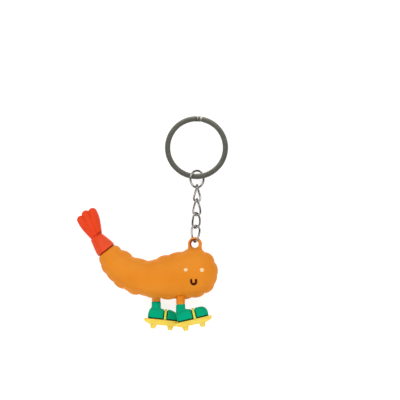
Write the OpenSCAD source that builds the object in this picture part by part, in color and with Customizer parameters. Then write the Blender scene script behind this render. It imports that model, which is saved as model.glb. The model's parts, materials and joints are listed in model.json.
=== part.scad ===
// Keychain: a soft vinyl prawn in studded boots, on a short twisted chain with a flat split ring.
// It lies on its back. X runs from tail to head, Y from the boots to the ring, Z up from the
// surface it lies on. The origin is on the figure's flat back, under the middle of the torso.

/* [Torso] */
// Distance from the tail joint to the middle of the head
torso_span = 41.2; // [36:0.1:50]
// Height of the tail joint over the middle of the torso
tail_rise = 11.2; // [8:0.1:14]
// Radius of the head, seen from the front
head_r = 11.5; // [9.5:0.1:14]
// Radius of the torso where the tail joins it
tail_end_r = 4.75; // [4:0.05:6]
// Thickness of the torso, back to front
torso_depth = 15.2; // [14.5:0.1:19]
// Depth of the flat on the torso's back
back_flat = 0.6; // [0.3:0.1:1.2]
// Height of the crumb lumps round the outline
lump_h = 0.6; // [0:0.05:0.9]
// Spacing of the crumb lumps
lump_pitch = 5.9; // [4:0.1:8]

/* [Tab] */
// Radius of the hole in the hanging tab
hole_r = 1.7; // [1.6:0.05:2.4]
// Width of the rim round the hole
rim_w = 1.7; // [1.3:0.05:2]
// Thickness of the hanging tab
tab_t = 1.4; // [1:0.05:1.5]

/* [Face] */
// Radius of an eye
eye_r = 1.0; // [0.6:0.05:1.4]
// Distance between the eyes
eye_spacing = 7.6; // [5:0.1:9]
// Radius of the smile's bend, at the middle of its line
mouth_r = 1.15; // [0.9:0.05:1.8]
// Thickness of the smile's line
mouth_line = 0.9; // [0.5:0.05:1.1]

/* [Tail] */
// Length of the tail's collar
collar_len = 8.4; // [6:0.1:11]
// Radius of the neck between the collar and the fan
neck_r = 3.05; // [2.4:0.05:3.6]
// Length of the longest lobe of the fan
fan_len = 12.6; // [9:0.1:16]

/* [Legs and boots] */
// Radius of a leg
leg_r = 2.15; // [1.8:0.05:2.6]
// Length of the far leg that shows under the torso
rear_leg_show = 1.5; // [1.5:0.1:5]
// Length of the near leg that shows under the torso
front_leg_show = 2.2; // [1.5:0.1:6]
// Length of a boot
boot_len = 15.1; // [13:0.1:17.5]
// Height of a boot from its sole to the top of its shaft
boot_h = 8.4; // [7:0.1:9.5]
// Width of a boot, side to side
boot_w = 6.2; // [5:0.1:6.6]
// Height of a boot's foot
foot_h = 5.1; // [4.5:0.1:5.6]
// How far a sole stands out past the boot
sole_lip = 0.35; // [0.1:0.05:0.5]
// Thickness of a sole plate
sole_t = 2.6; // [1.8:0.1:3.2]
// Length of a stud
stud_h = 2.0; // [1:0.1:2.6]
// Width of the strap over a foot
strap_w = 1.1; // [0.8:0.05:1.6]

/* [Chain] */
// Diameter of the links' wire
wire_d = 1.0; // [0.8:0.05:1.05]
// Outside length of a link
link_len = 8.85; // [8:0.05:10.5]
// Outside width of a link
link_w = 4.5; // [4.4:0.1:5]
// Outside width of the end link, which goes round the tab
end_link_w = 4.8; // [4.7:0.1:5.8]
// Outside diameter of the jump ring
jump_d = 9.0; // [8.6:0.1:11]
// Diameter of the jump ring's wire
jump_wire_d = 1.0; // [0.8:0.05:1.05]

/* [Split ring] */
// Outside diameter of the split ring
ring_d = 30; // [25:0.5:36]
// Width of the split ring's flat wire
band_w = 2.5; // [2:0.05:2.7]
// Thickness of the split ring's flat wire
band_t = 0.95; // [0.7:0.05:1]

/* [Hidden] */

fit_gap = 0.04;        // play round a glued peg or inlay
link_gap = 0.15;       // play where two wires hook
tab_gap = 0.2;         // play of the end link's wire in the tab
floor_gap = 0.05;      // the chain lies this far off the surface
round_fn = 64;

// ---- torso ----
axis_z = torso_depth / 2 - back_flat;
torso_power = 2.2;     // 2 would be an ellipse; more is fuller
head_x = 16.9;
tail_x = head_x - torso_span;
// Each station down the torso: share of the span, share of the tail's rise, share of the way
// from the tail end's radius to the head's, and the same for the depth
stations = [[0, 1, 0, 0], [0.11, 0.49, 0.34, 0.5], [0.27, 0.03, 0.49, 0.8], [0.49, -0.18, 0.6, 0.94],
            [0.7, -0.13, 0.83, 1], [0.88, -0.05, 0.95, 1], [1, 0.07, 1, 1]];
torso_rings = 40;
cap_rings = 14;
torso_sides = 32;
peg_depth = 4;         // how deep the tail's peg goes
peg_r = tail_end_r * 0.5;
tail_end = [tail_x, tail_rise];
head_mid = [head_x, tail_rise * stations[6][1]];

// Catmull-Rom curve through a list of points, t from 0 to 1
function smooth_at(p, t) =
    let (n = len(p) - 1, i = min(floor(t * n), n - 1), f = t * n - i,
         a = p[max(i - 1, 0)], b = p[i], c = p[i + 1], d = p[min(i + 2, n)])
    0.5 * (2 * b + (c - a) * f + (2 * a - 5 * b + 4 * c - d) * f * f
           + (3 * b - a - 3 * c + d) * f * f * f);
function unit(v) = v / norm(v);
function signed_power(v, p) = sign(v) * pow(abs(v), p);

// x, y, radius and half depth of the torso at t
function torso_at(t) = let (s = smooth_at(stations, t))
    [tail_x + torso_span * s[0], tail_rise * s[1], tail_end_r + (head_r - tail_end_r) * s[2],
     tail_end_r + (torso_depth / 2 - tail_end_r) * s[3]];
function torso_heading(t) = let (a = torso_at(max(t - 0.01, 0)), b = torso_at(min(t + 0.01, 1)))
    unit([b[0] - a[0], b[1] - a[1]]);
tail_heading = torso_heading(0);

// Lumps in staggered rows: s is the way along the torso, a the angle round it from the front
function lump_at(s, a) =
    let (w = 180 * (s + 0.8 * sin(s * 23) + (a < 180 ? 0 : 2.2)) / lump_pitch)
    max(abs(cos(w) * cos(3 * (a - 90))), abs(sin(w) * sin(3 * (a - 90))));
// A point of the skin: centre, heading, radius, half depth, the angle round, the angle over the
// head's end, and the way along. The lumps fade towards the front, the back and the head's end
function skin_point(c, h, r, d, a, over, s) =
    let (side = signed_power(sin(a), 2 / torso_power), front = signed_power(cos(a), 2 / torso_power),
         fade = (1 - pow(front * cos(over), 2)) * (1 - pow(sin(over), 4)),
         bulge = r + lump_h * fade * (lump_at(s, a) - 0.5),
         left = [-h[1], h[0]], flat = c + bulge * (sin(over) * h + cos(over) * side * left))
    [flat[0], flat[1], axis_z + d * cos(over) * front];
function torso_ring(t) = let (p = torso_at(t), h = torso_heading(t))
    [for (k = [0:torso_sides - 1])
        skin_point([p[0], p[1]], h, p[2], p[3], 360 * k / torso_sides, 0, t * torso_span * 1.15)];
function cap_ring(over) = let (h = torso_heading(1))
    [for (k = [0:torso_sides - 1])
        skin_point(head_mid, h, head_r, torso_depth / 2, 360 * k / torso_sides, over,
                   torso_span * 1.15 + head_r * over * PI / 180)];

// A closed skin over rings of n points each, with a middle point on both end rings
module loft(rings, first_mid, last_mid) {
    n = len(rings[0]);
    m = len(rings);
    points = concat([for (r = rings) each r], [first_mid, last_mid]);
    sides = [for (i = [0:m - 2], k = [0:n - 1]) let (k2 = (k + 1) % n, a = i * n, b = a + n)
        each [[a + k, b + k2, b + k], [a + k, a + k2, b + k2]]];
    ends = [for (k = [0:n - 1]) let (k2 = (k + 1) % n)
        each [[m * n, k2, k], [m * n + 1, (m - 1) * n + k, (m - 1) * n + k2]]];
    polyhedron(points, concat(sides, ends));
}

module torso_skin() {
    heading = torso_heading(1);
    body = [for (i = [0:torso_rings]) torso_ring(i / torso_rings)];
    cap = [for (i = [1:cap_rings - 1]) cap_ring(90 * i / cap_rings)];
    tip = head_mid + head_r * heading;
    loft(concat(body, cap), [tail_end[0], tail_end[1], axis_z], [tip[0], tip[1], axis_z]);
}

// Height of the torso's front at a point, measured from the head's middle
function front_z(p) = axis_z + torso_depth / 2
    * pow(1 - pow(norm(p - head_mid) / head_r, torso_power), 1 / torso_power);

// ---- tab ----
tab_mid = [head_x + 0.7, head_mid[1] + head_r + lump_h / 2 + hole_r, axis_z];

// A ring with a rounded rim: inside radius, rim width and thickness
module rounded_ring(inner, width, thick) {
    corner = min(width, thick) * 0.45;
    rotate_extrude($fn = round_fn) translate([inner, 0]) {
        translate([corner, -thick / 2]) square([width - 2 * corner, thick]);
        translate([0, corner - thick / 2]) square([width, thick - 2 * corner]);
        for (x = [corner, width - corner], y = [corner - thick / 2, thick / 2 - corner])
            translate([x, y]) circle(corner, $fn = 24);
    }
}

module tab() {
    translate(tab_mid) rounded_ring(hole_r, rim_w, tab_t);
}

// ---- face ----
inlay_depth = 1.2;
inlay_proud = 0.12;
eye_mid = head_mid + [0.2, 1.3];
mouth_mid = head_mid + [0.1, -4.3];
mouth_arm = 0.95;
eye_places = [for (side = [-1, 1]) eye_mid + [side * eye_spacing / 2, 0]];

// An eye's plug: grown by extra all round, and taller when it cuts its pocket
module eye_plug(place, extra = 0, above = 0) {
    z = front_z(place);
    translate([place[0], place[1], z - inlay_depth - extra])
        cylinder(r = eye_r + extra, h = inlay_depth + inlay_proud + extra + above, $fn = 48);
}
module smile_outline(line) {
    difference() {
        circle(mouth_r + line / 2, $fn = 48);
        circle(mouth_r - line / 2, $fn = 48);
        translate([-3 * mouth_r, 0]) square([6 * mouth_r, 3 * mouth_r]);
    }
    for (side = [-1, 1]) translate([side * mouth_r, 0]) {
        translate([-line / 2, -0.01]) square([line, mouth_arm + 0.01]);
        translate([0, mouth_arm]) circle(line / 2, $fn = 24);
    }
}
module mouth_plug(extra = 0, above = 0) {
    z = front_z(mouth_mid);
    translate([mouth_mid[0], mouth_mid[1], z - inlay_depth - extra])
        linear_extrude(inlay_depth + inlay_proud + extra + above) smile_outline(mouth_line + 2 * extra);
}

// ---- legs ----
// The bottom of the torso's outline straight under x
function belly_y(x) = let (t = station_t(x), p = torso_at(t)) p[1] - p[2];
function station_t(x, lo = 0, hi = 1, n = 20) = n == 0 ? (lo + hi) / 2
    : let (mid = (lo + hi) / 2) torso_at(mid)[0] < x ? station_t(x, mid, hi, n - 1)
                                                      : station_t(x, lo, mid, n - 1);
boot_side_gap = 0.2;   // room between the two soles
sole_w = boot_w + 2 * sole_lip;
rear_z = floor_gap + sole_w / 2;
front_z_mid = rear_z + sole_w + boot_side_gap;
leg_in = 0.7;          // how far a leg goes into the torso before it rounds off
hip_peg_h = 4.5;       // and how far its peg goes on from there
ankle_peg_r = leg_r * 0.6;
ankle_peg_h = 3;
rear_leg_x = tail_x + torso_span * 0.57;
front_leg_x = tail_x + torso_span * 0.852;
rear_ankle = [rear_leg_x, belly_y(rear_leg_x) - rear_leg_show, rear_z];
front_ankle = [front_leg_x, belly_y(front_leg_x) - front_leg_show, front_z_mid];

// A leg stands at its ankle, with a peg up into the torso and one down into the boot
module leg(ankle, show, extra = 0) {
    hip = show + leg_in;
    translate(ankle) rotate([-90, 0, 0]) {
        cylinder(r = leg_r + extra, h = hip, $fn = 48);
        translate([0, 0, hip]) sphere(leg_r + extra, $fn = 48);
        translate([0, 0, hip]) cylinder(r = ankle_peg_r + extra, h = hip_peg_h + extra, $fn = 48);
        translate([0, 0, -ankle_peg_h]) cylinder(r = ankle_peg_r, h = ankle_peg_h + 1, $fn = 48);
    }
}

// ---- boots: in a boot's own frame, x runs from heel to toe, y up from the sole ----
rear_turn = -6;
front_turn = 13;
shaft_r = leg_r - 0.05;
shaft_x = 3.25;        // the shaft's middle, from the heel
strap_x = boot_len * 0.55;
strap_proud = 0.25;
strap_sunk = 0.35;
groove_side = 0.3;     // open groove at each side of the strap
toe_r = [boot_len - strap_x - strap_w, foot_h];

function turned(v, a) = [v[0] * cos(a) - v[1] * sin(a), v[0] * sin(a) + v[1] * cos(a)];
function boot_origin(ankle, turn) = let (o = turned([shaft_x, boot_h], turn))
    [ankle[0] - o[0], ankle[1] - o[1], ankle[2]];
module in_boot(ankle, turn) {
    translate(boot_origin(ankle, turn)) rotate([0, 0, turn]) children();
}

// The foot's outline across, with round top corners, grown by extra
module foot_section(extra = 0, bottom = 0) {
    half = boot_w / 2 + extra;
    top = foot_h + extra;
    corner = 2 + extra;
    translate([-half, bottom]) square([2 * half, top - corner - bottom]);
    translate([corner - half, top - corner - 0.01]) square([2 * (half - corner), corner + 0.01]);
    for (side = [-1, 1]) translate([side * (half - corner), top - corner]) circle(corner, $fn = 48);
}
module along_foot(x, length) {
    translate([x, 0, 0]) rotate([0, 90, 0]) linear_extrude(length) children();
}
module foot_side() {
    toe = [for (a = [0:10:80]) [boot_len - toe_r[0] * (1 - cos(a)), toe_r[1] * sin(a)]];
    instep = [[6.4, foot_h], [5.4, foot_h + 1], [1.6, foot_h + 0.6]];
    heel = [[0.5, 3.6], [0, 1.4]];
    polygon(concat([[0.2, 0], [boot_len - 0.2, 0]], toe, instep, heel));
}
module boot(ankle, turn) {
    shaft_len = boot_h - 1.6;
    difference() {
        union() {
            in_boot(ankle, turn) intersection() {
                translate([0, 0, -boot_w / 2]) linear_extrude(boot_w) foot_side();
                along_foot(-1, boot_len + 2) foot_section();
            }
            translate(ankle) rotate([90, 0, 0]) cylinder(r = shaft_r, h = shaft_len, $fn = 48);
        }
        in_boot(ankle, turn) along_foot(strap_x - strap_w / 2 - groove_side, strap_w + 2 * groove_side)
            difference() {
                translate([-boot_w, -1]) square([2 * boot_w, foot_h + 3]);
                foot_section(-strap_sunk, -2);
            }
        translate(ankle + [0, 0.01, 0]) rotate([90, 0, 0])
            cylinder(r = ankle_peg_r + fit_gap, h = ankle_peg_h + 0.2, $fn = 48);
    }
}
module strap(ankle, turn) {
    in_boot(ankle, turn) along_foot(strap_x - strap_w / 2, strap_w) difference() {
        foot_section(strap_proud);
        foot_section(fit_gap - strap_sunk, -1);
    }
}

stud_xs = [boot_len * 0.2, boot_len * 0.74];
stud_top_r = 1.5;
stud_end_r = 1;
sole_end = 1.6;        // how far the sole runs past heel and toe
module sole_side() {
    back = -sole_end;
    tip = boot_len + sole_end - 0.4;
    polygon([[back, 0], [tip, 0], [tip, -sole_t * 0.3], [tip - 0.8, -sole_t * 0.65], [tip - 2.6, -sole_t],
             [back + 2.9, -sole_t], [back + 1.1, -sole_t * 0.65], [back + 0.1, -sole_t * 0.3]]);
}
module sole(ankle, turn) {
    in_boot(ankle, turn) {
        translate([0, 0, -sole_w / 2]) linear_extrude(sole_w) sole_side();
        for (x = stud_xs, side = [-1, 1])
            translate([x, 0.5 - sole_t, side * sole_w / 4]) rotate([90, 0, 0])
                cylinder(r1 = stud_top_r, r2 = stud_end_r, h = stud_h + 0.5, $fn = 32);
    }
}

// ---- tail: in its own frame, x runs out from the torso ----
tail_angle = atan2(-tail_heading[1], -tail_heading[0]);
collar_gap = 0.12;
// Each lobe: its turn from the tail's own line, its share of the fan's length, its place in Z,
// and its start across the neck
lobes = [[0, 0.97, -0.4, 1], [-12, 1.03, 0.5, -0.4], [-22, 1, -0.3, -1.7]];
lobe_r = neck_r * 0.76;

module in_tail() {
    translate([tail_end[0], tail_end[1], axis_z]) rotate([0, 0, tail_angle]) children();
}
module lobe(turn, share, z, across) {
    reach = fan_len * share;
    translate([collar_len, across, z]) rotate([0, 0, turn]) hull() {
        translate([-0.8, 0, 0]) sphere(lobe_r * 0.62, $fn = 20);
        translate([reach * 0.6, 0, 0]) sphere(lobe_r, $fn = 24);
        translate([reach - lobe_r * 0.85, 0, 0]) sphere(lobe_r * 0.85, $fn = 24);
    }
}

// ---- chain ----
tab_contact = tab_mid + [0, hole_r - wire_d / 2 - tab_gap, 0];
hook = wire_d + link_gap;
pitch = link_len - wire_d - hook;
link_low_z = link_w / 2 + floor_gap;
jump_mid_r = (jump_d - jump_wire_d) / 2;
jump_tilt = 38.5;
jump_z = jump_mid_r * sin(jump_tilt) + jump_wire_d / 2 + floor_gap;
drop = axis_z - link_low_z;
// Each link from the tab up: its slope down to the surface, its lean to the side, and the turn
// of its lower end about its own line
slopes = [asin(0.13 * drop / pitch), asin(0.63 * drop / pitch), asin(0.24 * drop / pitch),
          -asin((jump_z - link_low_z) / pitch)];
leans = [3.6, 4, 1, 0];
rolls = [71, 40, 13, -4];
twist = -100;
arc_steps = 10;
strand_steps = 6;
wire_sides = 10;

function link_width(i) = i == 0 ? end_link_w : link_w;
function link_dir(i) = [sin(leans[i]) * cos(slopes[i]), cos(leans[i]) * cos(slopes[i]), -sin(slopes[i])];
function link_base(i) = i == 0 ? tab_contact
    : link_top(i - 1) - hook * unit(link_dir(i - 1) + link_dir(i));
function link_top(i) = link_base(i) + (link_len - wire_d) * link_dir(i);
// A link's frame: across, along and up
function link_frame(i) = let (y = link_dir(i), x = unit(cross(y, [0, 0, 1]))) [x, y, cross(x, y)];
function placed(i, p) = let (f = link_frame(i)) link_base(i) + p[0] * f[0] + p[1] * f[1] + p[2] * f[2];

// The flat oval that a link is bent from: its wire's middle line, from its lower end up
function oval(half_w, length) = let (straight = length - 2 * half_w) concat(
    [for (k = [0:arc_steps - 1]) let (a = -180 + 180 * k / arc_steps)
        [half_w * cos(a), half_w + half_w * sin(a)]],
    [for (k = [0:strand_steps - 1]) [half_w, half_w + straight * k / strand_steps]],
    [for (k = [0:arc_steps - 1]) let (a = 180 * k / arc_steps)
        [half_w * cos(a), half_w + straight + half_w * sin(a)]],
    [for (k = [0:strand_steps - 1]) [-half_w, half_w + straight * (1 - k / strand_steps)]]);
// The same oval twisted about its length
function twisted(i) = let (length = link_len - wire_d)
    [for (p = oval((link_width(i) - wire_d) / 2, length))
        let (a = rolls[i] + twist * p[1] / length) [p[0] * cos(a), p[1], p[0] * sin(a)]];

// A closed wire along points, with normals that turn with the twist
module wire(points, across, r) {
    n = len(points);
    rings = [for (i = [0:n - 1])
        let (t = unit(points[(i + 1) % n] - points[(i + n - 1) % n]),
             u = unit(cross(t, across[i])), v = cross(u, t))
        [for (k = [0:wire_sides - 1]) let (a = 360 * k / wire_sides)
            points[i] + r * (cos(a) * u + sin(a) * v)]];
    faces = [for (i = [0:n - 1], k = [0:wire_sides - 1])
        let (i2 = (i + 1) % n, k2 = (k + 1) % wire_sides, a = i * wire_sides, b = i2 * wire_sides)
        each [[a + k, b + k2, b + k], [a + k, a + k2, b + k2]]];
    polyhedron([for (r = rings) each r], faces);
}
module chain_link(i) {
    f = link_frame(i);
    path = twisted(i);
    across = [for (p = path) let (a = rolls[i] + twist * p[1] / (link_len - wire_d))
        -sin(a) * f[0] + cos(a) * f[2]];
    wire([for (p = path) placed(i, p)], across, wire_d / 2);
}

// ---- jump ring ----
jump_seam = 4;         // degrees left open where its ends meet
jump_hook = (wire_d + jump_wire_d) / 2 + link_gap;
jump_mid = link_top(3) + [0, jump_mid_r - jump_hook, 0];

// ---- split ring ----
turn_gap = 0.1;        // air between its two turns
band_play = 1.0;       // room between the band and the top of the jump ring
ring_mid_r = (ring_d - band_w) / 2;
ring_t = 2 * band_t + turn_gap;
band_mid = jump_mid + [0, jump_mid_r - jump_wire_d / 2 - band_play - band_w / 2, 0];
ring_tilt = asin((band_mid[2] - ring_t / 2 - floor_gap) / (ring_d - band_w / 2));
ring_swing = 1;        // degrees it lies to the side of the chain
jog = 13;              // degrees that the step between the turns takes
end_gap = 3;           // degrees between the step and a free end
ring_mid = band_mid + ring_mid_r
    * [-sin(ring_swing) * cos(ring_tilt), cos(ring_swing) * cos(ring_tilt), -sin(ring_tilt)];

module in_ring() {
    translate(ring_mid) rotate([-ring_tilt, 0, 0]) rotate([0, 0, ring_swing + 90]) children();
}
module flat_turn(from, to, z) {
    rotate([0, 0, from]) rotate_extrude(angle = to - from, $fn = 180)
        translate([ring_d / 2 - band_w, z]) square([band_w, band_t]);
}
// The step that carries the wire from the upper turn down to the lower one
module step_down() {
    run = ring_mid_r * sin(jog / 2);
    low = -ring_t / 2;
    high = turn_gap / 2;
    flat = run * 1.25;
    intersection() {
        difference() {
            cylinder(d = ring_d, h = 2 * ring_t, center = true, $fn = 180);
            cylinder(d = ring_d - 2 * band_w, h = 3 * ring_t, center = true, $fn = 180);
        }
        rotate([0, 0, -jog / 2]) rotate([90, 0, 90]) linear_extrude(ring_d)
            polygon([[-flat, high], [-run * 0.6, high], [run * 0.6, low], [flat, low],
                     [flat, low + band_t], [run * 0.6, low + band_t], [-run * 0.6, high + band_t],
                     [-flat, high + band_t]]);
    }
}

// ---- nodes ----
module torso() {
    color("#EB8D2A") difference() {
        union() {
            torso_skin();
            tab();
        }
        translate([-100, -100, -10]) cube([200, 200, 10]);
        in_tail() translate([-peg_depth - 0.3, 0, 0]) rotate([0, 90, 0])
            cylinder(r = peg_r + fit_gap, h = peg_depth + 1, $fn = 48);
        leg(rear_ankle, rear_leg_show, fit_gap);
        leg(front_ankle, front_leg_show, fit_gap);
        for (place = eye_places) eye_plug(place, fit_gap, 2);
        mouth_plug(fit_gap, 2);
    }
}
module tail() {
    color("#EE4523") in_tail() {
        translate([collar_gap, 0, 0]) rotate([0, 90, 0]) rotate_extrude($fn = round_fn)
            polygon([[0, 0], [tail_end_r, 0], [tail_end_r - 0.1, collar_len * 0.2],
                     [tail_end_r - 0.7, collar_len * 0.55], [neck_r + 0.1, collar_len * 0.85],
                     [neck_r, collar_len], [0, collar_len]]);
        translate([-peg_depth, 0, 0]) rotate([0, 90, 0]) cylinder(r = peg_r, h = peg_depth + 1, $fn = 48);
        for (l = lobes) lobe(l[0], l[1], l[2], l[3]);
    }
}
module eye_left() { color("#FFDBA6") eye_plug(eye_places[0]); }
module eye_right() { color("#FFDBA6") eye_plug(eye_places[1]); }
module mouth() { color("#4A1206") mouth_plug(); }
module rear_leg() { color("#EB8D2A") leg(rear_ankle, rear_leg_show); }
module front_leg() { color("#EB8D2A") leg(front_ankle, front_leg_show); }
module rear_boot() { color("#05A078") boot(rear_ankle, rear_turn); }
module front_boot() { color("#05AB7D") boot(front_ankle, front_turn); }
module rear_strap() { color("#D2DE5A") strap(rear_ankle, rear_turn); }
module front_strap() { color("#D2DE5A") strap(front_ankle, front_turn); }
module rear_sole() { color("#F2D95C") sole(rear_ankle, rear_turn); }
module front_sole() { color("#F2D95C") sole(front_ankle, front_turn); }
module jump_ring() {
    color("silver") translate(jump_mid) rotate([0, jump_tilt, 0]) rotate([0, 0, 60 + jump_seam / 2])
        rotate_extrude(angle = 360 - jump_seam, $fn = 96)
            translate([jump_mid_r, 0]) circle(jump_wire_d / 2, $fn = 32);
}
module split_ring() {
    color("#6E6E68") in_ring() {
        flat_turn(0, 360 - jog, turn_gap / 2);
        flat_turn(0, 360 - jog - end_gap, -ring_t / 2);
        step_down();
    }
}

torso();
tail();
eye_left();
eye_right();
mouth();
rear_leg();
front_leg();
rear_boot();
front_boot();
rear_strap();
front_strap();
rear_sole();
front_sole();
color("silver") chain_link(0);  // chain_link_1
color("silver") chain_link(1);  // chain_link_2
color("silver") chain_link(2);  // chain_link_3
color("silver") chain_link(3);  // chain_link_4
jump_ring();
split_ring();
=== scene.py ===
import json
import math

import bmesh
import bpy
import numpy as np
from mathutils import Matrix, Vector


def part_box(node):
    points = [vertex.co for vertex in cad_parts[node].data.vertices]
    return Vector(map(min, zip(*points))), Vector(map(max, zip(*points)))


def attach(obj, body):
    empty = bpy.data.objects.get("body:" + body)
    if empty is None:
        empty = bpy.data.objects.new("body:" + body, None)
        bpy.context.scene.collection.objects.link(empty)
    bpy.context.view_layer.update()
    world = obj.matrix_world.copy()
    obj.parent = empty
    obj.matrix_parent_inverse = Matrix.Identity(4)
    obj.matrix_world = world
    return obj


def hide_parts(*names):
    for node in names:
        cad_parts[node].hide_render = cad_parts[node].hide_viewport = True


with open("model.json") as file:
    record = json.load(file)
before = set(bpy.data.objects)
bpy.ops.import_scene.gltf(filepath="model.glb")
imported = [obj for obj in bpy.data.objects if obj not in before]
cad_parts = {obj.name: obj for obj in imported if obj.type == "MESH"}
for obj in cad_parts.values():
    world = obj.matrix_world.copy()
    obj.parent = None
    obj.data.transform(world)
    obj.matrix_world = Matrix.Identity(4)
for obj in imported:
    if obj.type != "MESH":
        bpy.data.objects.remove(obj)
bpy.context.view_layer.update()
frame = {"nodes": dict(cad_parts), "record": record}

mm = 0.001
xUp, yUp, zUp = Vector((1, 0, 0)), Vector((0, 1, 0)), Vector((0, 0, 1))


# shader maths and nodes
class Flow:  # a socket's value, so that shader maths reads as plain sums
    def __init__(self, recipe, socket):
        self.recipe = recipe
        self.socket = socket

    def sum(self, operation, first, second):
        return self.recipe.node("ShaderNodeMath", {"operation": operation}, {0: first, 1: second})

    def __add__(self, other):
        return self.sum("ADD", self, other)

    def __radd__(self, other):
        return self.sum("ADD", other, self)

    def __sub__(self, other):
        return self.sum("SUBTRACT", self, other)

    def __rsub__(self, other):
        return self.sum("SUBTRACT", other, self)

    def __mul__(self, other):
        return self.sum("MULTIPLY", self, other)

    def __rmul__(self, other):
        return self.sum("MULTIPLY", other, self)


class Recipe:  # a node tree on its way
    def __init__(self, tree):
        self.tree = tree

    def node(self, kind, settings, sockets, output=0):
        made = self.tree.nodes.new(kind)
        for name, value in settings.items():
            setattr(made, name, value)
        for key, value in sockets.items():
            self.feed(made.inputs[key], value)
        return Flow(self, made.outputs[output])

    def feed(self, socket, value):
        if isinstance(value, Flow):
            self.tree.links.new(value.socket, socket)
        else:
            socket.default_value = value

    def noise(self, scale, detail=2.0, place=None):
        sockets = {"Vector": place or self.place, "Scale": scale, "Detail": detail}
        return self.node("ShaderNodeTexNoise", {}, sockets)

    def vector(self, operation, first, second, output=0):
        return self.node("ShaderNodeVectorMath", {"operation": operation}, {0: first, 1: second}, output)

    def band(self, value, low, high):  # 0 below low, 1 above high
        return self.node("ShaderNodeMapRange", {"interpolation_type": "SMOOTHSTEP"},
                         {"Value": value, "From Min": low, "From Max": high})

    def mix(self, amount, first, second):
        return self.node("ShaderNodeMix", {"data_type": "RGBA"}, {0: amount, 6: first, 7: second}, 2)

    def bump(self, height, strength, distance, before=None):
        sockets = {"Height": height, "Strength": strength, "Distance": distance}
        if before:
            sockets["Normal"] = before
        return self.node("ShaderNodeBump", {}, sockets)


class Finish(Recipe):
    def __init__(self, name, constants):
        self.material = bpy.data.materials.new(name)
        self.material.use_nodes = True
        super().__init__(self.material.node_tree)
        self.shader = self.tree.nodes["Principled BSDF"]
        for socket, value in constants.items():
            self.shader.inputs[socket].default_value = value
        self.place = self.node("ShaderNodeTexCoord", {}, {}, "Object")

    def within(self, home):  # places in the frame of a piece, given in millimetres
        sockets = {"Vector": self.place, "Location": home.translation * mm, "Rotation": home.to_euler()}
        return self.node("ShaderNodeMapping", {"vector_type": "TEXTURE"}, sockets)

    def distance(self, offset):  # from the upright axis through the middle
        flat = self.vector("MULTIPLY", offset, (1, 1, 0))
        return self.node("ShaderNodeVectorMath", {"operation": "LENGTH"}, {0: flat}, "Value")

    def part(self, vector, axis):
        return self.node("ShaderNodeSeparateXYZ", {}, {0: vector}, axis)

    def cloud(self, scale):
        return self.band(self.noise(scale, 3), 0.35, 0.65)

    def speck(self):
        return self.band(self.noise(1500, 2), 0.3, 0.7)

    def done(self, colour, roughness, normal):
        self.feed(self.shader.inputs["Base Color"], colour)
        self.feed(self.shader.inputs["Roughness"], roughness)
        self.feed(self.shader.inputs["Normal"], normal)
        return self.material


def ink(red, green, blue):  # a colour off a swatch card, 0 to 255
    def one(v):
        v /= 255
        return v / 12.92 if v <= 0.04045 else ((v + 0.055) / 1.055) ** 2.4
    return (one(red), one(green), one(blue), 1)


# shapes are built in millimetres and scaled to metres at the end
def placement(middle, across, up, along):
    spot = Matrix((across, up, along)).transposed().to_4x4()
    spot.translation = middle
    return spot


def roundedRing(bm, sides, power, spot):
    # a circle at that placement, squarer as power rises above 2
    ring = bmesh.ops.create_circle(bm, segments=sides, radius=1)["verts"]
    for v in ring:
        for k in (0, 1):
            v.co[k] = math.copysign(abs(v.co[k]) ** (2 / power), v.co[k])
    bmesh.ops.transform(bm, matrix=spot, verts=ring)
    return ring, list({e for v in ring for e in v.link_edges})


def drawSkin(bm, sides, spots, power=2.0):
    # a rounded ring drawn from placement to placement, with both ends closed
    ring, edges = roundedRing(bm, sides, power, spots[0])
    bmesh.ops.edgeloop_fill(bm, edges=edges)
    for before, after in zip(spots, spots[1:]):
        made = bmesh.ops.extrude_edge_only(bm, edges=edges)["geom"]
        ring = [g for g in made if isinstance(g, bmesh.types.BMVert)]
        new = set(ring)
        edges = [g for g in made if isinstance(g, bmesh.types.BMEdge) and new.issuperset(g.verts)]
        bmesh.ops.transform(bm, matrix=after @ before.inverted(), verts=ring)
    bmesh.ops.edgeloop_fill(bm, edges=edges)
    bmesh.ops.recalc_face_normals(bm, faces=bm.faces)


def ease(bm, edges, offset, segments):
    bmesh.ops.bevel(bm, geom=edges, offset=offset, offset_type="OFFSET", affect="EDGES", segments=segments,
                    profile=0.5, material=-1)


def capsuleSpots(path, radius, up, flat=1.0, steps=5):
    # placements along a path with round ends; radius is one value for each point
    points = [Vector(p) for p in path]
    last = len(points) - 1
    middle = []
    for i, p in enumerate(points):
        along = (points[min(i + 1, last)] - points[max(i - 1, 0)]).normalized()
        side = along.cross(up).normalized()
        middle.append((p, side, side.cross(along) * flat, along, radius[i]))

    def cap(end, way):
        p, side, rise, along, r = end
        spots = []
        for k in range(1, steps + 1):
            a = math.pi / 2 * (k - 0.1) / steps  # stops just short of the pole
            spots.append(placement(p + along * (way * r * math.sin(a)), side * r * math.cos(a),
                                   rise * r * math.cos(a), along))
        return spots

    body = [placement(p, side * r, rise * r, along) for p, side, rise, along, r in middle]
    return cap(middle[0], -1)[::-1] + body + cap(middle[-1], 1)


def mould(bm, voxel, passes):
    # makes one skin of what overlaps, and softens it as a mould does
    mesh = bpy.data.meshes.new("rough")
    bm.to_mesh(mesh)
    bm.free()
    rough = bpy.data.objects.new("rough", mesh)
    bpy.context.collection.objects.link(rough)
    remesh = rough.modifiers.new("skin", "REMESH")
    remesh.mode = "VOXEL"
    remesh.voxel_size = voxel
    skin = bpy.data.meshes.new_from_object(rough.evaluated_get(bpy.context.evaluated_depsgraph_get()))
    bpy.data.objects.remove(rough)
    out = bmesh.new()
    out.from_mesh(skin)
    bpy.data.meshes.remove(skin)
    bpy.data.meshes.remove(mesh)
    soften(out, passes)
    return out


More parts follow.
